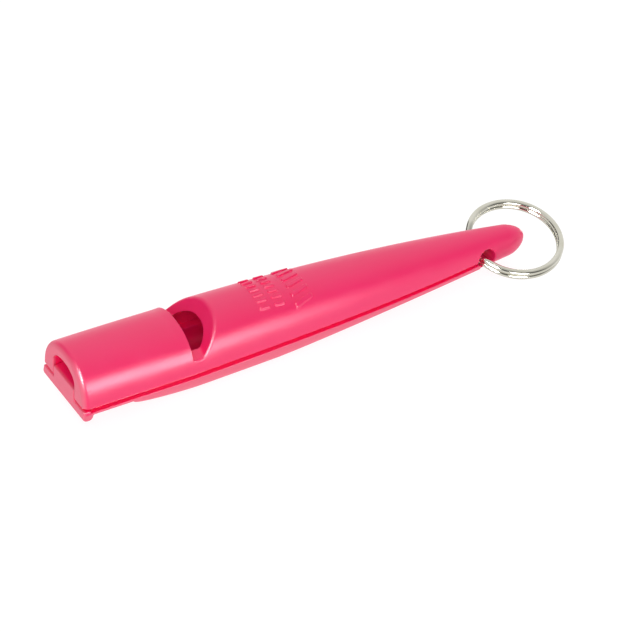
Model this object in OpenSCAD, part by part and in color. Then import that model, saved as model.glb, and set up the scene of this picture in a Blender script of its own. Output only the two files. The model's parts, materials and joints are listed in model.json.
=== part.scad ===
// Pealess training whistle: two moulded shells and a double-coil split ring.
// X runs from the mouthpiece to the tail and Z is up; the origin is the centre of the belly flat.

/* [Body] */
// Length from the mouthpiece face to the tail tip
body_len = 81.5; // [79.5:0.5:85.5]
// Full width over the mouthpiece and the chamber
body_w = 14; // [13.6:0.1:15]
// Height of the upper shell over the seam
top_h = 6.7; // [6.5:0.1:7.1]
// Depth of the belly under the seam
belly_d = 4.6; // [4.4:0.1:5.1]
// Wall thickness around the chamber
wall = 1.8; // [1.7:0.05:1.9]

/* [Mouthpiece] */
// Length from the face to the window
mouth_len = 19; // [18.5:0.1:19.5]
// Radius of the rounded edge around the face
nose_r = 1; // [0.8:0.05:1.1]
// Width of the windway
windway_w = 7; // [6.4:0.1:7.4]
// Windway floor height over the seam at the face
floor_in = 1.5; // [1.1:0.1:1.7]
// Windway floor height over the seam at the window
floor_out = 4; // [3.7:0.05:4.1]
// Windway crown height over the seam at the face
roof_in = 4.7; // [4.5:0.1:4.9]
// Windway crown height over the seam at the window
roof_out = 5; // [4.9:0.05:5.2]

/* [Seam] */
// Step of the lower shell in from the edge of the upper shell
strip_inset = 0.45; // [0.35:0.05:0.6]
// Depth of the seam groove behind the lower shell's ledge
groove_in = 0.9; // [0.7:0.05:1]
// Height of the seam groove
groove_h = 1.25; // [1:0.05:1.4]
// Gap between the two shells where they meet
fit_gap = 0.02; // [0.01:0.01:0.05]

/* [Tail and ring] */
// Distance from the hole's axis to the tail tip
hole_back = 8.2; // [7.8:0.1:8.5]
// Diameter of the ring hole
hole_d = 3.2; // [3.2:0.05:3.4]
// Outer diameter of the split ring
ring_d = 15.8; // [15.4:0.1:17]
// Radial width of the ring's wire
wire_w = 1.05; // [0.9:0.05:1.05]
// Thickness of one coil of the ring
wire_t = 0.85; // [0.75:0.05:0.85]
// Droop of the ring behind the tail, in degrees
ring_droop = 3; // [0:1:10]
// Sideways lean of the ring, in degrees
ring_lean = 13; // [0:1:13]

/* [Hidden] */
$fn = 64;
pink = [0.90, 0.10, 0.29];
nickel = [0.80, 0.79, 0.76];

half_w = body_w / 2;
far = 40;
sliver = 0.05;

// Side and crown lines behind the mouthpiece
straight_x = 19.5;
taper_end = body_len - 6;
side_taper = 2.0;
side_curl = 2.4;
top_taper = 3.6;
top_bow = 1.85;
saddle_x = 17.5;
saddle_end = 24;
saddle_front = 0.1;
saddle_dip = 0.45;
arch_power = 2.2;
cap_x = body_len - 3.5;

// Belly line
strip_d = 2.1;
strip_power = 5;
step_x = 9;
step_d = 2.6;
swell_bow = 0.45;
belly_power = 3;
flat_x = 28.5;
flat_len = 12;
flat_cut = 0.12;
belly_front = flat_x - flat_len / 2;
belly_back = flat_x + flat_len / 2;
belly_bow = 1.25;
tail_d = 2.4;
tail_power = 2.4;
ledge_rise = 0.25;

// Share of the windway's height that its arch takes up, and the gap beside the floor block
windway_arch = 0.66;
block_gap = 0.2;

// Chamber and tail
hole_x = body_len - hole_back;
tail_x = hole_x - hole_d / 4;
chamber_end = hole_x - 12;
rim_x = 30;
rim_h = 0.9;
rim_gap = 0.15;
hole_lip = 0.2;

// Window
ramp_x = 21.2;
ramp_run = 0.93;
sill_y = 4.2;
sill_z = 2.75;
sill_drop = 0.35;
sill_out = 2.3;
cut_z = 1.5;

// Front lip
lip_r = 0.85;
lip_z = -1.9;
lip_half = half_w - 0.25;
lip_plate = 1.3;
lip_corner = 0.5;

// Recessed band between the end plate and the upper shell
face_band = 0.65;
face_step = 0.35;

// Raised grip marks
mark_h = 0.25;
mark_root = 0.4;
bar_x = 39.6;
bar_len = 3.2;
bar_w = 0.7;
bar_pitch = 1.6;
bar_slant = 0.9;
dash_x = [33, 35.6];
dash_len = 1.7;
dash_w = 0.5;
dash_pitch = 1.2;

// Section point counts
arch_n = 24;
keel_n = 10;
roof_n = 12;

// Ring
ring_r = ring_d / 2 - wire_w / 2;
ring_reach = ring_r - 0.675;
wire_round = 0.28;
end_angle = 164;
end_step = -18;
end_gap = 0.35;

function taper(x) = max(0, (x - straight_x) / (taper_end - straight_x));

function cap(x) = x <= cap_x ? 1 : sqrt(1 - pow((x - cap_x) / (body_len - cap_x), 2));

function nose(x) = x >= nose_r ? 0 : nose_r - sqrt(pow(nose_r, 2) - pow(nose_r - x, 2));

// Dip of the crown towards the window
function saddle(x) =
    x < saddle_x ? saddle_front + (saddle_dip - saddle_front) * pow(x / saddle_x, 2) :
    x < saddle_end ? saddle_dip * (0.5 + 0.5 * cos(180 * (x - saddle_x) / (saddle_end - saddle_x))) : 0;

// Half width of the whistle at x
function side(x) = cap(x) * (half_w - side_taper * taper(x) - side_curl * pow(taper(x), 3)) - nose(x);

// Crown height over the seam at x
function crown(x) = cap(x) * (top_h - saddle(x) - top_taper * pow(taper(x), top_bow)) - nose(x);

// Depth under the seam at x
function keel(x) =
    x < step_x ? strip_d :
    x < belly_front ?
        step_d + (belly_d - step_d) * pow(sin(90 * (x - step_x) / (belly_front - step_x)), swell_bow) :
    x < belly_back ? belly_d :
    belly_d - (belly_d - tail_d) * pow(sin(90 * (x - belly_back) / (hole_x - belly_back)), belly_bow);

// Depth of the seam groove's floor at x, which rises towards the tail
function ledge(x) = groove_h - ledge_rise * taper(x);

function bent(v, n) = sign(v) * pow(abs(v), 2 / n);

function arch(x, w, h) =
    [for (i = [0:arch_n])
        let (a = 180 * i / arch_n)
        [x, -w * bent(cos(a), arch_power), h * bent(sin(a), arch_power)]];

function keel_arch(x, w, d, z, n, lo, hi) =
    [for (i = [lo:hi]) let (a = 180 * i / keel_n) [x, w * bent(cos(a), n), z - d * bent(sin(a), n)]];

// Outer section of the upper shell, with the tail's underside behind the hole
function upper_ring(x) = concat(
    arch(x, side(x), crown(x)),
    keel_arch(x, side(x), x < tail_x ? 0 : cap(x) * tail_d, 0, tail_power, 1, keel_n - 1));

// Section of the lower shell's outside, under the groove
function strip_ring(x) =
    let (n = x < step_x ? strip_power : belly_power, cut = x < step_x ? 0 : flat_cut)
    keel_arch(x, side(x) - strip_inset, keel(x) + cut - ledge(x), -ledge(x), n, 0, keel_n);

function box_ring(x, w, lo, hi) = [[x, -w, lo], [x, -w, hi], [x, w, hi], [x, w, lo]];

// Chamber section inside the upper shell, open downwards
function roof_ring(x) = concat(arch(x, side(x) - wall, crown(x) - wall), [[x, side(x) - wall, -1], [x, wall - side(x), -1]]);

// Chamber section inside the lower shell, open upwards
function well_ring(x) =
    let (w = side(x) - strip_inset - groove_in - wall)
    concat([[x, -w, 2], [x, w, 2]], keel_arch(x, w, keel(x) - wall, 0, 3, 0, keel_n));

// Closed skin over a list of sections with equal point counts; the end caps start at point apex
module skin(rings, apex = 0) {
    n = len(rings[0]);
    last = (len(rings) - 1) * n;
    sides = [for (k = [0:len(rings) - 2], i = [0:n - 1], half = [0, 1])
        let (a = k * n + i, b = k * n + (i + 1) % n)
        half == 0 ? [a, b, b + n] : [a, b + n, a + n]];
    front = [for (i = [0:n - 1]) (apex + n - i) % n];
    back = [for (i = [0:n - 1]) last + (apex + i) % n];
    polyhedron(points = [for (r = rings) each r], faces = concat([front], sides, [back]), convexity = 6);
}

module along_y(width) {
    rotate([90, 0, 0])
        linear_extrude(height = width, center = true)
            children();
}

module at_datum() {
    translate([-flat_x, 0, belly_d])
        children();
}

module ring_hole() {
    translate([hole_x, 0, 0])
        rotate([90, 0, 0])
            cylinder(h = body_w, d = hole_d, center = true);
}

// Countersunk mouths of the ring hole
module hole_mouths() {
    for (s = [-1, 1])
        translate([hole_x, s * (side(hole_x) - hole_lip), 0])
            rotate([-90 * s, 0, 0])
                cylinder(h = 3 * hole_lip, r1 = hole_d / 2, r2 = hole_d / 2 + 3 * hole_lip);
}

// Outside of the upper shell
module upper_skin() {
    nose_xs = [for (a = [0:22.5:67.5]) nose_r * (1 - cos(a))];
    body_xs = [nose_r, 5, 10, 14, saddle_x, 19, 20.7, 22.4, saddle_end, 29, 34, 39, 44, 49, 54, 59, 64, 69];
    tail_xs = [tail_x - sliver, tail_x, hole_x + 1, hole_x + 2.6, cap_x];
    cap_xs = [for (a = [20, 40, 55, 70, 80, 87]) cap_x + (body_len - cap_x) * sin(a)];
    skin([for (x = concat(nose_xs, body_xs, tail_xs, cap_xs)) upper_ring(x)], apex = arch_n / 2);
}

// Windway section with an arched roof, open at the bottom for the lower shell's floor block
function windway_ring(x, floor_z, roof_z) =
    let (s = windway_w / 2, drop = windway_arch * (roof_z - floor_z))
    concat(
        [[x, -s, -1]],
        [for (i = [0:roof_n]) let (a = 180 * i / roof_n) [x, -s * cos(a), roof_z - drop + drop * sin(a)]],
        [[x, s, -1]]);

module windway() {
    skin([windway_ring(-1, floor_in, roof_in), windway_ring(mouth_len + 1, floor_out, roof_out)]);
}

module chamber_roof() {
    skin([for (x = [mouth_len, 20.7, 22.4, saddle_end, 32, 40, 48, 56, chamber_end]) roof_ring(x)]);
}

// Nearly level sills that close the window at its two sides
module sill_profile() {
    far_drop = sill_drop * far / sill_out;
    polygon([
        [-sill_y - far, sill_z - far_drop],
        [-sill_y, sill_z],
        [sill_y, sill_z],
        [sill_y + far, sill_z - far_drop],
        [sill_y + far, far],
        [-sill_y - far, far]
    ]);
}

// Sound window: a notch across the upper shell with a sloping ramp behind it
module window() {
    intersection() {
        along_y(2 * body_w)
            polygon([
                [mouth_len, cut_z],
                [ramp_x - ramp_run * (sill_z - cut_z), cut_z],
                [ramp_x + ramp_run * far, sill_z + far],
                [mouth_len, sill_z + far]
            ]);
        translate([mouth_len - 1, 0, 0])
            rotate([90, 0, 90])
                linear_extrude(height = far)
                    sill_profile();
    }
}

// Outlines of the raised grip marks: one row of slanted bars and two rows of dashes
module mark_outlines() {
    for (i = [-2.5:1:2.5])
        translate([bar_x, i * bar_pitch])
            polygon([
                [-bar_len / 2, -bar_w / 2 - bar_slant / 2],
                [bar_len / 2, -bar_w / 2 + bar_slant / 2],
                [bar_len / 2, bar_w / 2 + bar_slant / 2],
                [-bar_len / 2, bar_w / 2 - bar_slant / 2]
            ]);
    for (x = dash_x, i = [-3:3])
        translate([x, i * dash_pitch])
            square([dash_len, dash_w], center = true);
}

module grip_marks() {
    intersection() {
        linear_extrude(height = top_h + 2)
            mark_outlines();
        difference() {
            skin([for (x = [30, 36, 42, 48]) arch(x, side(x) + mark_h, crown(x) + mark_h)]);
            skin([for (x = [29, 36, 42, 49]) arch(x, side(x) - mark_root, crown(x) - mark_root)]);
        }
    }
}

module upper_shell() {
    color(pink)
        at_datum()
            difference() {
                union() {
                    upper_skin();
                    grip_marks();
                }
                windway();
                chamber_roof();
                window();
                ring_hole();
                hole_mouths();
            }
}

// Full-width bite lip and end plate under the mouthpiece face
module front_lip() {
    intersection() {
        along_y(3 * half_w) {
            translate([lip_r, lip_z])
                circle(r = lip_r);
            translate([0, lip_z])
                square([lip_plate, -lip_z - face_band]);
        }
        rotate([90, 0, 90])
            linear_extrude(height = 2 * lip_plate) {
                translate([-lip_half, lip_z])
                    square([2 * lip_half, -lip_z]);
                for (s = [-1, 1])
                    translate([s * (lip_half - lip_corner), lip_z - lip_r + lip_corner])
                        circle(r = lip_corner);
                translate([-lip_half + lip_corner, lip_z - lip_r])
                    square([2 * (lip_half - lip_corner), lip_r + 0.5]);
            }
    }
}

// Floor of the windway, a ramp that rises inside the upper shell
module floor_block() {
    along_y(windway_w - 2 * block_gap)
        polygon([
            [0, lip_z],
            [0, floor_in],
            [mouth_len - fit_gap, floor_out],
            [mouth_len - fit_gap, -2],
            [mouth_len / 2, lip_z]
        ]);
}

module strip() {
    front_xs = [0.5, 5, step_x - sliver, step_x, step_x + 0.3, 10, 11, 12.5, 15, 18, belly_front];
    back_xs = [belly_back, 38, 42, 50, 58, 66, tail_x - 2 * sliver];
    intersection() {
        skin([for (x = concat(front_xs, back_xs)) strip_ring(x)]);
        translate([-1, -far, -belly_d])
            cube([body_len, 2 * far, belly_d]);
    }
}

// Neck behind the seam groove, up to the seam
module neck() {
    skin([for (x = [face_step, 10, 20, 30, 42, 54, 66, tail_x - 2 * sliver])
        box_ring(x, side(x) - strip_inset - groove_in, -groove_h - 0.1, -fit_gap)]);
}

// Locating rim that stands inside the upper shell
module rim() {
    skin([for (x = [rim_x, 38, 46, 54, chamber_end - 0.4])
        box_ring(x, side(x) - wall - rim_gap, -0.5, rim_h)]);
}

module chamber_well() {
    skin([for (x = [mouth_len + wall, 30, 40, 50, chamber_end - wall]) well_ring(x)]);
}

module lower_shell() {
    color(pink)
        at_datum()
            difference() {
                union() {
                    front_lip();
                    floor_block();
                    strip();
                    neck();
                    rim();
                }
                chamber_well();
                ring_hole();
            }
}

// One coil's cross-section: a flattened wire with rounded corners
module wire_profile() {
    square([wire_w, wire_t - 2 * wire_round], center = true);
    square([wire_w - 2 * wire_round, wire_t], center = true);
    for (u = [-1, 1], v = [-1, 1])
        translate([u * (wire_w / 2 - wire_round), v * (wire_t / 2 - wire_round)])
            circle(r = wire_round, $fn = 24);
}

module coil(level) {
    rotate_extrude($fn = 96)
        translate([ring_r, level * wire_t / 2])
            wire_profile();
}

// Slot at a wire end
module wire_end(angle, level) {
    rotate([0, 0, angle])
        translate([ring_r, 0, level * (wire_t / 2 + 0.1)])
            cube([2 * wire_w, end_gap, wire_t], center = true);
}

module split_ring() {
    color(nickel)
        at_datum()
            translate([hole_x, 0, 0])
                rotate([0, ring_droop, 0])
                    rotate([ring_lean, 0, 0])
                        translate([ring_reach, 0, 0])
                            difference() {
                                union() {
                                    coil(1);
                                    coil(-1);
                                }
                                wire_end(end_angle, 1);
                                wire_end(end_angle + end_step, -1);
                            }
}

upper_shell();
lower_shell();
split_ring();
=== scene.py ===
"""Training whistle: two satin plastic mouldings and a nickel split ring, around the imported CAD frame.

Lengths are millimetres in the whistle's own axes until a mesh is made: x from the mouthpiece face to
the tail tip, y across, z up from the seam between the shells. place() moves them into the row frame
in metres.
"""
import json
import math

import bpy
import numpy as np
from mathutils import Matrix, Vector


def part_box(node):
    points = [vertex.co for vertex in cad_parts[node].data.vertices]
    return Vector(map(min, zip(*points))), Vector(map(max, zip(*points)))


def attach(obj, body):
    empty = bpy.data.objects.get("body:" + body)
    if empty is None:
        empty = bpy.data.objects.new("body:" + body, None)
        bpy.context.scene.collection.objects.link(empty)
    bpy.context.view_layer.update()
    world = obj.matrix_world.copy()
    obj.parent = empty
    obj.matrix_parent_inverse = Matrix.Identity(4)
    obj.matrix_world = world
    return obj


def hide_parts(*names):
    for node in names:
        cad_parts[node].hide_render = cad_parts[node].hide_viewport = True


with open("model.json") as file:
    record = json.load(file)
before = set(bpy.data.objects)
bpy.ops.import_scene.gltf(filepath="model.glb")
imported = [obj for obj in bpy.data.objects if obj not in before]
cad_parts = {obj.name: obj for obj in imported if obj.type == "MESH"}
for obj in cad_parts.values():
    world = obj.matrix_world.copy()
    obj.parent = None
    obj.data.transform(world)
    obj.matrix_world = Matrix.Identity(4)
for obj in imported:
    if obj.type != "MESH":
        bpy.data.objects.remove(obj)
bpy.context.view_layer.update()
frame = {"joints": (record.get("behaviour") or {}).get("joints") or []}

MM = 0.001
swing = frame["joints"][0]
seam_z = swing["pos_m"][2] / MM
face_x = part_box("upper_shell")[0][0] / MM
body_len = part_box("upper_shell")[1][0] / MM - face_x
hole_x = swing["pos_m"][0] / MM - face_x

# Outside of the whistle
HALF_W = 7.0
TAPER_EVEN = 2.0
TAPER_LATE = 2.4
TOP_H = 6.7
CROWN_FALL = 3.6
CROWN_POWER = 1.85
STRAIGHT = 19.5
TAPER_END = body_len - 6.0
CAP_X = body_len - 3.5
SADDLE_X = 17.5
SADDLE_END = 24.0
SADDLE_FRONT = 0.1
SADDLE_DIP = 0.45
ARCH_POWER = 2.2
UNDER_POWER = 2.4
NOSE_R = 1.0
WALL = 1.8

# Belly: depths under the seam, the powers that shape it and where each stretch of it begins
STRIP_D = 2.1
STRIP_POWER = 5.0
STEP_X = 9.0
STEP_HALF = 0.2
STEP_D = 2.6
BELLY_D = 4.6
BELLY_POWER = 3.0
SWELL_POWER = 0.45
FALL_POWER = 1.25
BELLY_FRONT = 22.5
BELLY_BACK = 34.5
FLAT_CUT = 0.12
TAIL_D = 2.4

# Seam. RIM_FOOT, like BLOCK_FOOT, is a depth under the seam, and NECK_FOOT one under the groove's floor.
STRIP_INSET = 0.45
NECK_INSET = 1.35
GROOVE_H = 1.25
LEDGE_RISE = 0.25
RIM_X = 30.0
RIM_TOP = 0.9
RIM_FOOT = 1.0
RIM_PLAY = 0.15
RIM_BACK = 0.4
NECK_FOOT = 0.4
FIT_GAP = 0.02

# Windway, window and tail. FLOOR_EVEN turns height over the sloping floor into distance from it, and the
# window's edge gets rounder from EDGE_START behind the mouthpiece, over EDGE_RUN.
MOUTH_LEN = 19.0
WINDWAY_HALF = 3.5
BLOCK_HALF = 3.3
FLOOR_IN = 1.5
FLOOR_OUT = 4.0
ROOF_IN = 4.7
ROOF_OUT = 5.0
WINDWAY_ARCH = 0.66
WINDWAY_OVER = 0.1
BLOCK_FOOT = 1.6
FLOOR_EVEN = 0.985
RAMP_X = 21.2
RAMP_RUN = 0.93
SILL_Y = 4.2
SILL_Z = 2.75
SILL_FALL = 0.152
EDGE_START = 0.3
EDGE_RUN = 0.8
OVERCUT = 0.1
TAIL_GAP = 0.1
CHAMBER_END = hole_x - 12.0
HOLE_R = 1.6
TAIL_X = hole_x - 0.8

# Front lip
LIP_R = 0.85
LIP_Z = -1.9
LIP_HALF = 6.75
LIP_PLATE = 1.3
LIP_CORNER = 0.5
LIP_BOX = 2.0
STRIP_FRONT = 0.5
FACE_BAND = -0.65
FACE_STEP = 0.35

# Raised marks
MARK_H = 0.25
MARK_CORNER = 0.15
BAR_ROWS = 6
BAR_X = 39.6
BAR_LEN = 3.2
BAR_W = 0.7
BAR_PITCH = 1.6
BAR_SLANT = 0.9
DASH_ROWS = 7
DASH_XS = (33.0, 35.6)
DASH_LEN = 1.7
DASH_W = 0.5
DASH_PITCH = 1.2

# Rounded edges and fillets, as radii. The window's edge gains more radius along the ramp.
NOTCH_R = 0.25
WINDOW_EDGE_R = 0.12
WINDOW_EDGE_GAIN = 0.26
MARK_R = 0.12
MARK_FILLET = 0.08
SEAM_R = 0.12
CHAMBER_R = 1.0
WINDWAY_R = 0.15
CHAMBER_EDGE_R = 0.05
HOLE_EDGE_R = 0.3
STRIP_R = 0.15
BELLY_R = 0.1
PLATE_R = 0.2
BEAD_FILLET = 0.4
LIP_END_R = 0.35
STRIP_FILLET = 0.35
NECK_FILLET = 0.12
BLOCK_R = 0.12
BLOCK_FRONT_R = 0.15
INNER_R = 0.1


# ---------------------------------------------------------------- shape fields

def round_max(a, b, r):
    """Where both are negative, with the corner between them rounded to radius r."""
    return np.minimum(np.maximum(a, b), -r) + np.hypot(np.maximum(a + r, 0), np.maximum(b + r, 0))


def round_min(a, b, r):
    """Where either is negative, with a fillet of radius r between them."""
    return -round_max(-a, -b, r)


def as_distance(field, x, y, z, eps=0.02):
    """Divides a field by its slope, so that it reads as millimetres near its surface."""
    f = field(x, y, z)
    fx = field(x + eps, y, z) - f
    fy = field(x, y + eps, z) - f
    fz = field(x, y, z + eps) - f
    return f * eps / np.sqrt(fx * fx + fy * fy + fz * fz + 1e-9)


def taper(x):
    """0 on the straight front part, rising to 1 near the tail's end."""
    return np.maximum(0, (x - STRAIGHT) / (TAPER_END - STRAIGHT))


def half_width(x):
    t = taper(x)
    return HALF_W - TAPER_EVEN * t - TAPER_LATE * t**3


def smooth(t):
    """0 to 1 with level ends."""
    t = np.clip(t, 0, 1)
    return t * t * (3 - 2 * t)


def crown(x):
    """Height of the crown line over the seam, with a shallow saddle in front of the window's ramp."""
    front = SADDLE_FRONT + (SADDLE_DIP - SADDLE_FRONT) * (x / SADDLE_X) ** 2
    along = np.clip((x - SADDLE_X) / (SADDLE_END - SADDLE_X), 0, 1)
    behind = SADDLE_DIP * (0.5 + 0.5 * np.cos(np.pi * along))
    return TOP_H - np.where(x < SADDLE_X, front, behind) - CROWN_FALL * taper(x) ** CROWN_POWER


def step(x):
    """0 under the mouthpiece, 1 behind the belly's step."""
    return smooth((x - STEP_X + STEP_HALF) / (2 * STEP_HALF))


def keel(x):
    """Depth of the belly line under the seam."""
    swell = np.sin(np.pi / 2 * np.clip((x - STEP_X) / (BELLY_FRONT - STEP_X), 0, 1)) ** SWELL_POWER
    fall = np.sin(np.pi / 2 * np.clip((x - BELLY_BACK) / (hole_x - BELLY_BACK), 0, 1)) ** FALL_POWER
    return STRIP_D + (STEP_D - STRIP_D) * step(x) + (BELLY_D - STEP_D) * swell - (BELLY_D - TAIL_D) * fall


def ledge(x):
    """Depth of the seam groove's floor under the seam, which is shallower towards the tail."""
    return GROOVE_H - LEDGE_RISE * taper(x)


def oval(u, v, n):
    """Superellipse radius: 1 on the curve."""
    return (np.abs(u) ** n + np.abs(v) ** n + 1e-9) ** (1 / n)


def outside_raw(x, y, z):
    """Whole outline of the upper shell, closed by a domed cap at the tail's tip."""
    w = half_width(x)
    top = z >= 0
    n = np.where(top, ARCH_POWER, UNDER_POWER)
    rho = oval(y / w, z / np.where(top, crown(x), TAIL_D), n)
    cap = np.maximum(0, (x - CAP_X) / (body_len - CAP_X))
    return np.sqrt(rho * rho + cap * cap) - 1


def outside(x, y, z):
    return as_distance(outside_raw, x, y, z)


def windway(x, y, z):
    """Air channel of the mouthpiece: an arch whose floor and roof both climb towards the window."""
    k = np.clip(x / MOUTH_LEN, -WINDWAY_OVER, 1 + WINDWAY_OVER)
    floor = FLOOR_IN + (FLOOR_OUT - FLOOR_IN) * k
    roof = ROOF_IN + (ROOF_OUT - ROOF_IN) * k
    drop = WINDWAY_ARCH * (roof - floor)
    up = np.maximum(0, (z - roof + drop) / drop)
    rho = np.sqrt((y / WINDWAY_HALF) ** 2 + up * up)
    return (rho - 1) * drop


def box_2d(u, v, half_u, half_v, r):
    """Signed distance to a rectangle with corner radius r."""
    qu = np.abs(u) - half_u + r
    qv = np.abs(v) - half_v + r
    return np.hypot(np.maximum(qu, 0), np.maximum(qv, 0)) + np.minimum(np.maximum(qu, qv), 0) - r


def mark_outline(x, y):
    """Plan outline of the raised marks: a row of slanted bars and two rows of dashes."""
    slant = (x - BAR_X) * BAR_SLANT / BAR_LEN
    row = np.clip(np.round((y - slant) / BAR_PITCH - 0.5), -(BAR_ROWS // 2), BAR_ROWS // 2 - 1) + 0.5
    out = box_2d(x - BAR_X, y - slant - row * BAR_PITCH, BAR_LEN / 2, BAR_W / 2, MARK_CORNER)
    dash_row = np.clip(np.round(y / DASH_PITCH), -(DASH_ROWS // 2), DASH_ROWS // 2)
    for dash_x in DASH_XS:
        dash = box_2d(x - dash_x, y - dash_row * DASH_PITCH, DASH_LEN / 2, DASH_W / 2, MARK_CORNER)
        out = np.minimum(out, dash)
    return out


def window(x, y, z):
    """Space of the sound window: a notch with a sloping ramp behind and nearly level sills at its sides."""
    ramp = (x - RAMP_X - RAMP_RUN * (z - SILL_Z)) / math.hypot(1, RAMP_RUN)
    sill = SILL_Z - SILL_FALL * np.maximum(0, np.abs(y) - SILL_Y) - z
    return round_max(round_max(ramp, sill, NOTCH_R), MOUTH_LEN - x, WINDOW_EDGE_R)


def upper_field(x, y, z):
    """Upper shell: skin with marks, then cut by the seam, window, windway, chamber and tail hole."""
    skin = outside(x, y, z)
    marks = round_max(skin - MARK_H, np.maximum(mark_outline(x, y), -z), MARK_R)
    body = round_min(skin, marks, MARK_FILLET)
    body = round_max(body, -x, NOSE_R)
    body = round_max(body, -np.maximum(z, x - TAIL_X), SEAM_R)
    edge = WINDOW_EDGE_R + WINDOW_EDGE_GAIN * np.clip((x - MOUTH_LEN - EDGE_START) / EDGE_RUN, 0, 1)
    body = round_max(body, -window(x, y, z), edge)
    chamber = np.maximum(round_max(skin + WALL, x - CHAMBER_END, CHAMBER_R), MOUTH_LEN - x)
    channel = np.maximum(windway(x, y, z), x - MOUTH_LEN - OVERCUT)
    body = round_max(body, -channel, WINDWAY_R)
    body = round_max(body, -chamber, CHAMBER_EDGE_R)
    return round_max(body, HOLE_R - np.hypot(x - hole_x, z), HOLE_EDGE_R)


def strip_raw(x, y, z):
    """Outside of the lower shell's strip and belly, below the seam groove."""
    n = STRIP_POWER + (BELLY_POWER - STRIP_POWER) * step(x)
    depth = keel(x) - ledge(x) + FLAT_CUT * step(x)
    return oval(y / (half_width(x) - STRIP_INSET), np.minimum(0, z + ledge(x)) / depth, n) - 1


def well_raw(x, y, z):
    """Hollow of the lower shell, under the chamber."""
    across = y / (half_width(x) - NECK_INSET - WALL)
    return oval(across, np.minimum(0, z) / (keel(x) - WALL), BELLY_POWER) - 1


def lip_field(x, y, z):
    """Bite lip: a round bead along the bottom of an upright plate, with rounded ends."""
    bead = np.hypot(x - LIP_R, z - LIP_Z) - LIP_R
    plate_mid = (FACE_BAND + LIP_Z) / 2
    plate_half = (FACE_BAND - LIP_Z) / 2
    plate = box_2d(x - LIP_PLATE / 2, z - plate_mid, LIP_PLATE / 2, plate_half, PLATE_R)
    lip = round_min(bead, plate, BEAD_FILLET)
    ends = box_2d(y, z - LIP_Z + LIP_R - LIP_BOX, LIP_HALF, LIP_BOX, LIP_CORNER)
    return round_max(lip, ends, LIP_END_R)


def lower_field(x, y, z):
    """Lower shell: strip, lip, neck, rim and windway block, then cut by the well and the tail hole."""
    side = np.abs(y)
    w = half_width(x)
    strip = round_max(as_distance(strip_raw, x, y, z), z + ledge(x), STRIP_R)
    strip = round_max(strip, -BELLY_D - z, BELLY_R)
    strip = np.maximum(strip, STRIP_FRONT - x)
    body = round_min(strip, lip_field(x, y, z), STRIP_FILLET)
    body = np.maximum(body, -x)
    neck = np.maximum(np.maximum(side - w + NECK_INSET, z + FIT_GAP), -z - GROOVE_H - NECK_FOOT)
    neck = np.maximum(neck, FACE_STEP - x)
    body = round_min(body, neck, NECK_FILLET)
    rim = np.maximum(side - w + WALL + RIM_PLAY, z - RIM_TOP)
    rim = np.maximum(rim, np.maximum(RIM_X - x, x - CHAMBER_END + RIM_BACK))
    body = np.minimum(body, np.maximum(rim, -z - RIM_FOOT))
    floor = (z - FLOOR_IN - (FLOOR_OUT - FLOOR_IN) * x / MOUTH_LEN) * FLOOR_EVEN
    block = round_max(round_max(side - BLOCK_HALF, floor, BLOCK_R), -x, BLOCK_FRONT_R)
    block = np.maximum(np.maximum(block, x - MOUTH_LEN + FIT_GAP), -z - BLOCK_FOOT)
    body = np.minimum(body, block)
    ends = np.maximum(MOUTH_LEN + WALL - x, x - CHAMBER_END + WALL)
    well = np.maximum(as_distance(well_raw, x, y, z), ends)
    body = round_max(body, -well, INNER_R)
    body = round_max(body, x - TAIL_X + TAIL_GAP, INNER_R)
    return round_max(body, HOLE_R - np.hypot(x - hole_x, z), INNER_R)


# ---------------------------------------------------------------- meshing

# Grid planes filled at one time
SLAB = 24
# How firmly a net point is held to the mean of its crossings, and how many steps it may move from it
NET_HOLD = 0.06
NET_REACH = 0.8
# Least squared slope that a Newton step divides by
FLAT_SLOPE = 0.05
# Corner normals are taken this share of the way to the face's centre, so that they don't straddle an edge
CENTRE_SHARE = 0.3


def slope(field, p, eps=0.02):
    """Gradient at each point."""
    g = np.empty_like(p)
    for k in range(3):
        shift = np.zeros(3)
        shift[k] = eps
        q = p + shift
        r = p - shift
        g[:, k] = (field(q[:, 0], q[:, 1], q[:, 2]) - field(r[:, 0], r[:, 1], r[:, 2])) / (2 * eps)
    return g


def unit(g):
    return g / np.maximum(np.linalg.norm(g, axis=1, keepdims=True), 1e-9)


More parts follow.
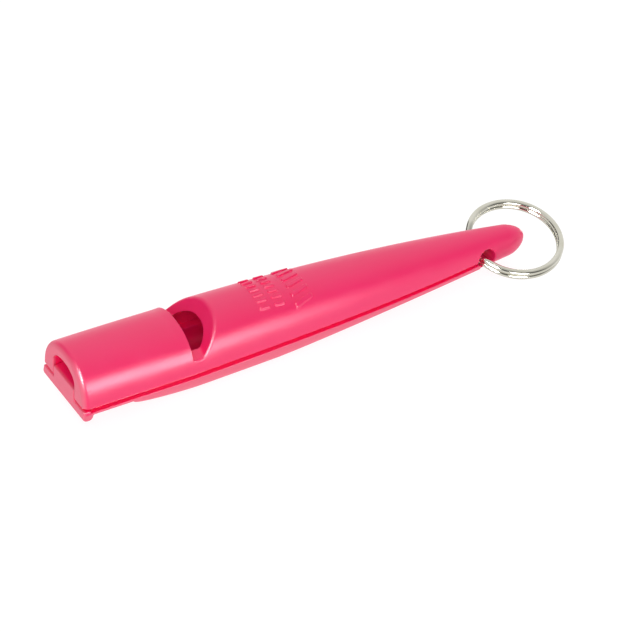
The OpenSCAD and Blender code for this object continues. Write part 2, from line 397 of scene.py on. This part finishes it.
def surface_net(field, low, high, step):
    """Vertices and quads of the field's zero surface, by dual contouring, which keeps edges crisp."""
    axes = [np.arange(a, b + step, step) for a, b in zip(low, high)]
    low = np.array(low)
    shape = tuple(len(a) for a in axes)
    values = np.empty(shape, dtype=np.float64)
    for i in range(0, shape[0], SLAB):
        gx, gy, gz = np.meshgrid(axes[0][i:i + SLAB], axes[1], axes[2], indexing="ij")
        values[i:i + SLAB] = field(gx, gy, gz)
    inside = values < 0
    cells = tuple(n - 1 for n in shape)
    total = cells[0] * cells[1] * cells[2]
    count = np.zeros(total)
    mean = np.zeros((total, 3))
    outer = {}
    pull = {}
    quads = []
    for axis in range(3):
        near = [slice(None)] * 3
        far = [slice(None)] * 3
        near[axis] = slice(0, -1)
        far[axis] = slice(1, None)
        at = np.argwhere(inside[tuple(near)] != inside[tuple(far)])
        a = values[at[:, 0], at[:, 1], at[:, 2]]
        ahead = at.copy()
        ahead[:, axis] += 1
        b = values[ahead[:, 0], ahead[:, 1], ahead[:, 2]]
        point = at.astype(np.float64)
        point[:, axis] += a / (a - b)
        point = low + point * step
        normal = unit(slope(field, point))
        reach = (normal * point).sum(axis=1)
        u, v = (axis + 1) % 3, (axis + 2) % 3
        ring = []
        for du, dv in ((0, 0), (-1, 0), (-1, -1), (0, -1)):
            cell = at.copy()
            cell[:, u] += du
            cell[:, v] += dv
            index = (cell[:, 0] * cells[1] + cell[:, 1]) * cells[2] + cell[:, 2]
            ring.append(index)
            count += np.bincount(index, minlength=total)
            for k in range(3):
                mean[:, k] += np.bincount(index, weights=point[:, k], minlength=total)
                share = np.bincount(index, weights=normal[:, k] * reach, minlength=total)
                pull[k] = pull.get(k, 0) + share
                for j in range(k, 3):
                    product = np.bincount(index, weights=normal[:, k] * normal[:, j], minlength=total)
                    outer[k, j] = outer.get((k, j), 0) + product
        ring = np.stack(ring, axis=1)
        flip = a >= 0
        ring[flip] = ring[flip][:, ::-1]
        quads.append(ring)
    used = np.flatnonzero(count)
    number = np.full(total, -1, dtype=np.int64)
    number[used] = np.arange(len(used))
    middle = mean[used] / count[used][:, None]
    matrix = np.empty((len(used), 3, 3))
    for (k, j), product in outer.items():
        matrix[:, k, j] = matrix[:, j, k] = product[used]
    side = np.stack([pull[k][used] for k in range(3)], axis=1)
    side -= np.einsum("nij,nj->ni", matrix, middle)
    matrix += np.eye(3) * (NET_HOLD * count[used])[:, None, None]
    move = np.linalg.solve(matrix, side[:, :, None])[:, :, 0]
    far = np.linalg.norm(move, axis=1, keepdims=True)
    points = middle + move * np.minimum(1, NET_REACH * step / np.maximum(far, 1e-9))
    return points, number[np.concatenate(quads)]


def settle(field, p, reach):
    """Moves points onto the surface, no further than reach, in two Newton steps."""
    start = p.copy()
    for _ in range(2):
        f = field(p[:, 0], p[:, 1], p[:, 2])
        g = slope(field, p)
        p = p - g * (f / np.maximum((g * g).sum(axis=1), FLAT_SLOPE))[:, None]
    move = p - start
    far = np.linalg.norm(move, axis=1, keepdims=True)
    return start + move * np.minimum(1, reach / np.maximum(far, 1e-9))


def place(p):
    """Whistle millimetres to row metres."""
    return (np.asarray(p) + np.array([face_x, 0, seam_z])) * MM


def mesh_from_net(name, field, low, high, step, keep):
    """A mesh object from a field: net, settled vertices, fewer faces, then corner normals."""
    points, quads = surface_net(field, low, high, step)
    points = settle(field, points, step)
    mesh = bpy.data.meshes.new(name)
    mesh.from_pydata(points.tolist(), [], quads.tolist())
    mesh.update()
    obj = bpy.data.objects.new(name, mesh)
    bpy.context.collection.objects.link(obj)
    thin = obj.modifiers.new("thin", "DECIMATE")
    thin.ratio = keep
    graph = bpy.context.evaluated_depsgraph_get()
    mesh = bpy.data.meshes.new_from_object(obj.evaluated_get(graph))
    obj.modifiers.clear()
    obj.data = mesh
    mesh.name = name
    co = np.empty(len(mesh.vertices) * 3)
    mesh.vertices.foreach_get("co", co)
    p = settle(field, co.reshape(-1, 3), step * 0.5)
    corner = np.empty(len(mesh.loops), dtype=np.int32)
    mesh.loops.foreach_get("vertex_index", corner)
    starts = np.empty(len(mesh.polygons), dtype=np.int32)
    sizes = np.empty(len(mesh.polygons), dtype=np.int32)
    mesh.polygons.foreach_get("loop_start", starts)
    mesh.polygons.foreach_get("loop_total", sizes)
    centre = np.add.reduceat(p[corner], starts, axis=0) / sizes[:, None]
    inward = p[corner] * (1 - CENTRE_SHARE) + np.repeat(centre, sizes, axis=0) * CENTRE_SHARE
    normals = unit(slope(field, inward, 0.015))
    mesh.vertices.foreach_set("co", place(p).ravel())
    mesh.polygons.foreach_set("use_smooth", [True] * len(mesh.polygons))
    mesh.update()
    mesh.normals_split_custom_set(normals.tolist())
    return obj


# ---------------------------------------------------------------- split ring

RING_D = 15.8
WIRE_W = 1.05
WIRE_T = 0.83
WIRE_POWER = 0.92
WIRE_AROUND = 28
WIRE_ALONG = 520
COIL_GAP = 0.02
RING_DROOP = 3
RING_LEAN = 13
END_ANGLE = 164
JOGGLE = 26
END_GAP = 3.2
# Distance from a wire end, and share of the full section there
END_ROUND = ((0.0, 0.62), (0.035, 0.86), (0.12, 1.0))
END_CORE = 0.25


def ring_level(turn):
    """Height of the wire, as -1 to 1, at a turn angle in degrees from its first end."""
    a = 360 - END_GAP - JOGGLE
    t = min(1, max(0, (turn - a) / JOGGLE))
    return 1 - 2 * (t * t * (3 - 2 * t))


def wire_stations(radius):
    """Turn angle from the first end, and share of the full section, at each station along the wire."""
    total = 720 - 2 * END_GAP - JOGGLE
    per_deg = radius * math.pi / 180
    cap = END_ROUND[-1][0]
    stations = [(k / per_deg, share) for k, share in END_ROUND]
    for i in range(1, WIRE_ALONG):
        stations.append((cap / per_deg + (total - 2 * cap / per_deg) * i / WIRE_ALONG, 1.0))
    for k, share in reversed(END_ROUND):
        stations.append((total - k / per_deg, share))
    return stations


def split_ring():
    """A flattened wire wound twice, with a joggle where it steps from the upper coil to the lower."""
    around = WIRE_AROUND
    radius = (RING_D - WIRE_W) / 2
    stations = wire_stations(radius)
    verts = []
    faces = []
    for turn, share in stations:
        a = math.radians(END_ANGLE + turn)
        z = ring_level(turn) * (WIRE_T + COIL_GAP) / 2
        for j in range(around):
            b = 2 * math.pi * j / around
            c = math.cos(b)
            s = math.sin(b)
            size = END_CORE + (1 - END_CORE) * share
            u = math.copysign(abs(c) ** WIRE_POWER, c) * WIRE_W / 2 * size
            v = math.copysign(abs(s) ** WIRE_POWER, s) * WIRE_T / 2 * size
            verts.append(((radius + u) * math.cos(a), (radius + u) * math.sin(a), z + v))
    count = len(stations)
    for i in range(count - 1):
        for j in range(around):
            k = (j + 1) % around
            faces.append((i * around + j, (i + 1) * around + j, (i + 1) * around + k, i * around + k))
    faces.append(tuple(range(around)))
    faces.append(tuple((count - 1) * around + j for j in reversed(range(around))))
    low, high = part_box("split_ring")
    centre = (Vector(low) + Vector(high)) / 2
    droop = Matrix.Rotation(math.radians(RING_DROOP), 4, "Y")
    lean = Matrix.Rotation(math.radians(RING_LEAN), 4, "X")
    tilt = droop @ lean
    mesh = bpy.data.meshes.new("ring_wire")
    mesh.from_pydata([centre + (tilt @ Vector(p)) * MM for p in verts], [], faces)
    mesh.polygons.foreach_set("use_smooth", [True] * len(mesh.polygons))
    mesh.update()
    obj = bpy.data.objects.new("ring_wire", mesh)
    bpy.context.collection.objects.link(obj)
    return obj


# ---------------------------------------------------------------- materials

# Colours as linear RGBA: the darker and the lighter of each pair
UPPER_PINKS = ((0.92, 0.005, 0.12, 1), (0.94, 0.010, 0.138, 1))
LOWER_PINKS = ((0.93, 0.001, 0.125, 1), (0.95, 0.003, 0.14, 1))
NICKELS = ((0.54, 0.525, 0.44, 1), (0.64, 0.625, 0.555, 1))
# Pale pink painted on the end face and low outer skin as a sheen, in place of light from the white floor
# and surround
PAINTED_SHEEN_PINK = (0.85, 0.10, 0.19, 1)
# Most of a noise's values lie between these
NOISE_LOW = 0.3
NOISE_HIGH = 0.7
# The chamber's well: floor height, its end, and its half width at the face, less this for each mm of x
WELL_FLOOR = -3.0
WELL_END = 56
WELL_HALF = 5.0
WELL_NARROWING = 0.055


class Nodes:
    """Short calls for building a node tree."""

    def __init__(self, name):
        self.material = bpy.data.materials.new(name)
        self.material.use_nodes = True
        self.tree = self.material.node_tree
        self.shader = self.tree.nodes["Principled BSDF"]
        self.coords = self.tree.nodes.new("ShaderNodeTexCoord")

    def node(self, kind, **values):
        made = self.tree.nodes.new(kind)
        for key, value in values.items():
            setattr(made, key, value)
        return made

    def link(self, source, target):
        self.tree.links.new(source, target)

    def noise(self, scale, detail=3.0, rough=0.5, stretch=(1, 1, 1)):
        """Noise over the object's position; scale is waves per metre."""
        mapping = self.node("ShaderNodeMapping")
        mapping.inputs["Scale"].default_value = stretch
        self.link(self.coords.outputs["Object"], mapping.inputs["Vector"])
        noise = self.node("ShaderNodeTexNoise")
        noise.inputs["Scale"].default_value = scale
        noise.inputs["Detail"].default_value = detail
        noise.inputs["Roughness"].default_value = rough
        self.link(mapping.outputs["Vector"], noise.inputs["Vector"])
        return noise.outputs["Fac"]

    def span(self, value, low, high, to_low, to_high):
        """Maps value from low..high to to_low..to_high, held at both ends."""
        made = self.node("ShaderNodeMapRange")
        self.link(value, made.inputs["Value"])
        numbers = {"From Min": low, "From Max": high, "To Min": to_low, "To Max": to_high}
        for key, number in numbers.items():
            made.inputs[key].default_value = number
        return made.outputs["Result"]

    def mix(self, factor, a, b):
        made = self.node("ShaderNodeMix", data_type="RGBA")
        self.link(factor, made.inputs["Factor"])
        for socket, value in ((made.inputs[6], a), (made.inputs[7], b)):
            if isinstance(value, tuple):
                socket.default_value = value
            else:
                self.link(value, socket)
        return made.outputs[2]

    def math(self, operation, a, b):
        made = self.node("ShaderNodeMath", operation=operation)
        for socket, value in zip(made.inputs, (a, b)):
            if isinstance(value, (int, float)):
                socket.default_value = value
            else:
                self.link(value, socket)
        return made.outputs[0]

    def bump(self, height, strength, distance):
        made = self.node("ShaderNodeBump")
        made.inputs["Strength"].default_value = strength
        made.inputs["Distance"].default_value = distance
        self.link(height, made.inputs["Height"])
        self.link(made.outputs["Normal"], self.shader.inputs["Normal"])


def outer_skin(n, position):
    """1 outside, 0 in the chamber's well: over its floor, behind the mouthpiece, near the middle."""
    side = n.math("ABSOLUTE", position.outputs["Y"], 0)
    narrowing = n.math("ADD", side, n.math("MULTIPLY", position.outputs["X"], WELL_NARROWING))
    near_middle = n.math("LESS_THAN", narrowing, (WELL_HALF + WELL_NARROWING * face_x) * MM)
    above_floor = n.math("GREATER_THAN", position.outputs["Z"], (seam_z + WELL_FLOOR) * MM)
    ahead = n.math("LESS_THAN", position.outputs["X"], (face_x + WELL_END) * MM)
    behind = n.math("GREATER_THAN", position.outputs["X"], (face_x + MOUTH_LEN) * MM)
    across = n.math("MULTIPLY", near_middle, above_floor)
    inside = n.math("MULTIPLY", across, n.math("MULTIPLY", ahead, behind))
    return n.math("SUBTRACT", 1.0, inside)


def painted_sheen_parts(n, pale_below):
    """Mask of the painted sheen: 1 on the mouthpiece's end face and on outer skin lower than pale_below
    (row metres), else 0.
    """
    position = n.node("ShaderNodeSeparateXYZ")
    n.link(n.coords.outputs["Object"], position.inputs[0])
    face = n.span(position.outputs["X"], (face_x + 0.15) * MM, (face_x + 0.6) * MM, 1, 0)
    taper_start = (face_x + STRAIGHT) * MM
    taper_stop = (face_x + TAPER_END) * MM
    rise = n.span(position.outputs["X"], taper_start, taper_stop, 0, LEDGE_RISE * MM)
    height = n.math("SUBTRACT", position.outputs["Z"], rise)
    low = n.span(height, pale_below - 0.1 * MM, pale_below + 0.05 * MM, 1, 0)
    low = n.math("MULTIPLY", low, outer_skin(n, position))
    return n.math("MAXIMUM", face, low)


def pink_plastic(name, pale_below, pinks):
    """Hot-pink moulded plastic: satin skin, faint flow variation, fine texture, a few tiny scuffs and a
    painted sheen.
    """
    n = Nodes(name)
    flow = n.noise(90, 2.0, 0.45, (0.5, 1, 1))
    base = n.mix(n.span(flow, NOISE_LOW, NOISE_HIGH, 0, 1), *pinks)
    # Painted sheen: the end face and low outer skin are mixed towards the pale pink and made a little
    # rougher
    painted_sheen = painted_sheen_parts(n, pale_below)
    base = n.mix(painted_sheen, base, PAINTED_SHEEN_PINK)
    n.link(base, n.shader.inputs["Base Color"])
    patches = n.noise(260, 3.0, 0.6)
    scuffs = n.noise(1500, 4.0, 0.7, (0.35, 1, 1))
    satin = n.span(patches, NOISE_LOW, NOISE_HIGH, 0.30, 0.36)
    rough = n.math("ADD", satin, n.span(scuffs, 0.62, 0.78, 0, 0.04))
    n.link(n.math("ADD", rough, n.math("MULTIPLY", painted_sheen, 0.15)), n.shader.inputs["Roughness"])
    grain = n.noise(5200, 2.0, 0.5)
    ripple = n.noise(420, 2.0, 0.5, (0.4, 1, 1))
    height = n.math("ADD", n.math("MULTIPLY", grain, 0.25), n.math("MULTIPLY", ripple, 1.0))
    n.bump(height, 0.25, 0.03 * MM)
    n.shader.inputs["IOR"].default_value = 1.56
    n.shader.inputs["Subsurface Weight"].default_value = 0.08
    n.shader.inputs["Subsurface Radius"].default_value = (1.0, 0.15, 0.35)
    n.shader.inputs["Subsurface Scale"].default_value = 0.5 * MM
    return n.material


def nickel_wire():
    """Bright nickel plate on drawn wire: cloudy, slightly warm colour and fine polish marks."""
    n = Nodes("nickel_wire")
    cloud = n.noise(300, 3.0, 0.5)
    base = n.mix(n.span(cloud, NOISE_LOW, NOISE_HIGH, 0, 1), *NICKELS)
    n.link(base, n.shader.inputs["Base Color"])
    n.shader.inputs["Metallic"].default_value = 1.0
    polish = n.noise(2600, 3.0, 0.6)
    n.link(n.span(polish, NOISE_LOW, NOISE_HIGH, 0.06, 0.14), n.shader.inputs["Roughness"])
    n.bump(polish, 0.02, 0.02 * MM)
    return n.material


# ---------------------------------------------------------------- pieces

# Grid step, share of the net's faces that is kept, and room left round each shell
NET_STEP = 0.16
NET_KEEP = 0.35
MARGIN = 0.4
SIDE = 7.7
UPPER_LOW = (-MARGIN, -SIDE, -3.0)
UPPER_HIGH = (body_len + MARGIN, SIDE, 7.7)
LOWER_LOW = (-MARGIN, -SIDE, -4.8)
LOWER_HIGH = (TAIL_X + MARGIN, SIDE, 5.0)
# Row heights in metres under which a shell gets the painted pale sheen: nowhere on the upper one
PALE_NOWHERE = -1.0
PALE_BELOW_GROOVE = (seam_z - GROOVE_H - 0.08) * MM

upper = mesh_from_net("upper_moulding", upper_field, UPPER_LOW, UPPER_HIGH, NET_STEP, NET_KEEP)
lower = mesh_from_net("lower_moulding", lower_field, LOWER_LOW, LOWER_HIGH, NET_STEP, NET_KEEP)
ring = split_ring()

for piece, node, slot_name, pale_below, pinks in (
    (upper, "upper_shell", "pink_plastic", PALE_NOWHERE, UPPER_PINKS),
    (lower, "lower_shell", "pink_plastic_lower", PALE_BELOW_GROOVE, LOWER_PINKS),
):
    piece.data.materials.clear()
    piece.data.materials.append(pink_plastic(slot_name, pale_below, pinks))
    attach(piece, "whistle")
    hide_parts(node)

ring.data.materials.append(nickel_wire())
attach(ring, "ring")
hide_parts("split_ring")


# ---------------------------------------------------------------- stage, light and camera

FLOOR_REACH = 3.0
FLOOR_GREY = (0.2, 0.2, 0.2, 1)
FLOOR_GLOW = 0.88
SURROUND = (1.08, 1.08, 1.08, 1)

# Soft dark discs of the surround: direction, full inside and none outside (degrees), strength left in it
DARK_DISCS = (
    ((0, -0.9, 0.35), 5, 95, 0.42),
    ((-0.39, -0.67, 0.63), 10, 26, 0.04),
    ((0.39, -0.69, 0.61), 7, 22, 0.25),
    ((-0.70, 0.66, 0.30), 22, 48, 0.10),
)

# Softboxes: name, place and aim (metres), width, height, watts. The shines are seen only in reflections.
MOUTH = (-0.022, 0, 0.006)
MIDDLE = (0.012, 0, 0.004)
SHINES = (
    ("key_front", (0.024, -0.14, 0.048), (-0.006, 0, 0.006), 0.09, 0.07, 0.25),
    ("left_front", (-0.28, -0.21, 0.22), MOUTH, 0.12, 0.12, 3.0),
    ("top_left", (-0.21, -0.17, 0.375), MOUTH, 0.15, 0.15, 2.6),
)
FILL = ("fill", (-0.30, -0.47, 0.41), MIDDLE, 0.5, 0.5, 1.85)

# Camera: azimuth, elevation and roll in degrees, distance in metres, aim in whistle millimetres
CAM_AZ = -30.31
CAM_EL = 38.75
CAM_ROLL = 1.88
CAM_DIST = 0.9
CAM_AIM = (39.33, -8.31, 5.0)
LENS_MM = 333.7405
SENSOR_MM = 36


def pale_floor():
    """A plain pale sheet with a little glow of its own, so that it reads as white."""
    mesh = bpy.data.meshes.new("floor")
    far = FLOOR_REACH
    mesh.from_pydata([(-far, -far, 0), (far, -far, 0), (far, far, 0), (-far, far, 0)], [], [(0, 1, 2, 3)])
    floor = bpy.data.objects.new("floor", mesh)
    bpy.context.collection.objects.link(floor)
    n = Nodes("floor_paper")
    n.shader.inputs["Base Color"].default_value = FLOOR_GREY
    n.shader.inputs["Roughness"].default_value = 0.9
    n.shader.inputs["Specular IOR Level"].default_value = 0.1
    n.shader.inputs["Emission Color"].default_value = (1, 1, 1, 1)
    n.shader.inputs["Emission Strength"].default_value = FLOOR_GLOW
    mesh.materials.append(n.material)


def softbox(name, place_at, aim_at, width, height, power):
    light = bpy.data.lights.new(name, "AREA")
    light.shape = "RECTANGLE"
    light.size = width
    light.size_y = height
    light.energy = power
    obj = bpy.data.objects.new(name, light)
    obj.location = place_at
    obj.rotation_mode = "QUATERNION"
    obj.rotation_quaternion = (Vector(aim_at) - Vector(place_at)).to_track_quat("-Z", "Y")
    obj.visible_camera = False
    bpy.context.collection.objects.link(obj)
    return obj


def soft_disc(tree, direction, core_deg, edge_deg):
    """0 within core_deg of a direction of the surround, rising to 1 at edge_deg."""
    coords = tree.nodes.new("ShaderNodeTexCoord")
    dot = tree.nodes.new("ShaderNodeVectorMath")
    dot.operation = "DOT_PRODUCT"
    tree.links.new(coords.outputs["Generated"], dot.inputs[0])
    dot.inputs[1].default_value = Vector(direction).normalized()
    ramp = tree.nodes.new("ShaderNodeMapRange")
    ramp.interpolation_type = "SMOOTHSTEP"
    tree.links.new(dot.outputs["Value"], ramp.inputs["Value"])
    ramp.inputs["From Min"].default_value = math.cos(math.radians(edge_deg))
    ramp.inputs["From Max"].default_value = math.cos(math.radians(core_deg))
    ramp.inputs["To Min"].default_value = 1
    ramp.inputs["To Max"].default_value = 0
    return ramp.outputs[0]


def studio_world():
    """White surround, dimmer to the front, with dark discs at the camera, right front and left back."""
    world = bpy.data.worlds.new("studio")
    bpy.context.scene.world = world
    world.use_nodes = True
    tree = world.node_tree
    background = tree.nodes["Background"]
    strength = None
    for direction, core_deg, edge_deg, dark in DARK_DISCS:
        disc = soft_disc(tree, direction, core_deg, edge_deg)
        level = tree.nodes.new("ShaderNodeMath")
        level.operation = "MULTIPLY_ADD"
        tree.links.new(disc, level.inputs[0])
        level.inputs[1].default_value = 1 - dark
        level.inputs[2].default_value = dark
        if strength is None:
            strength = level.outputs[0]
            continue
        times = tree.nodes.new("ShaderNodeMath")
        times.operation = "MULTIPLY"
        tree.links.new(strength, times.inputs[0])
        tree.links.new(level.outputs[0], times.inputs[1])
        strength = times.outputs[0]
    tree.links.new(strength, background.inputs["Strength"])
    background.inputs["Color"].default_value = SURROUND


def camera():
    """The camera, placed by its azimuth, elevation, roll and distance from the point it is aimed at."""
    az = math.radians(CAM_AZ)
    el = math.radians(CAM_EL)
    roll = math.radians(CAM_ROLL)
    back = Vector((math.sin(az) * math.cos(el), -math.cos(az) * math.cos(el), math.sin(el)))
    level = Vector((math.cos(az), math.sin(az), 0))
    upright = back.cross(level)
    right = math.cos(roll) * level + math.sin(roll) * upright
    up = -math.sin(roll) * level + math.cos(roll) * upright
    data = bpy.data.cameras.new("camera")
    data.sensor_width = SENSOR_MM
    data.lens = LENS_MM
    data.clip_start = 0.01
    data.clip_end = 20
    obj = bpy.data.objects.new("camera", data)
    where = Matrix((right, up, back)).transposed().to_4x4()
    where.translation = Vector(place(CAM_AIM).tolist()) + back * CAM_DIST
    obj.matrix_world = where
    bpy.context.collection.objects.link(obj)
    return obj


pale_floor()
studio_world()
for shine in SHINES:
    softbox(*shine).visible_diffuse = False
softbox(*FILL).visible_glossy = False
bpy.context.scene.camera = camera()
bpy.context.scene.view_settings.view_transform = "Standard"
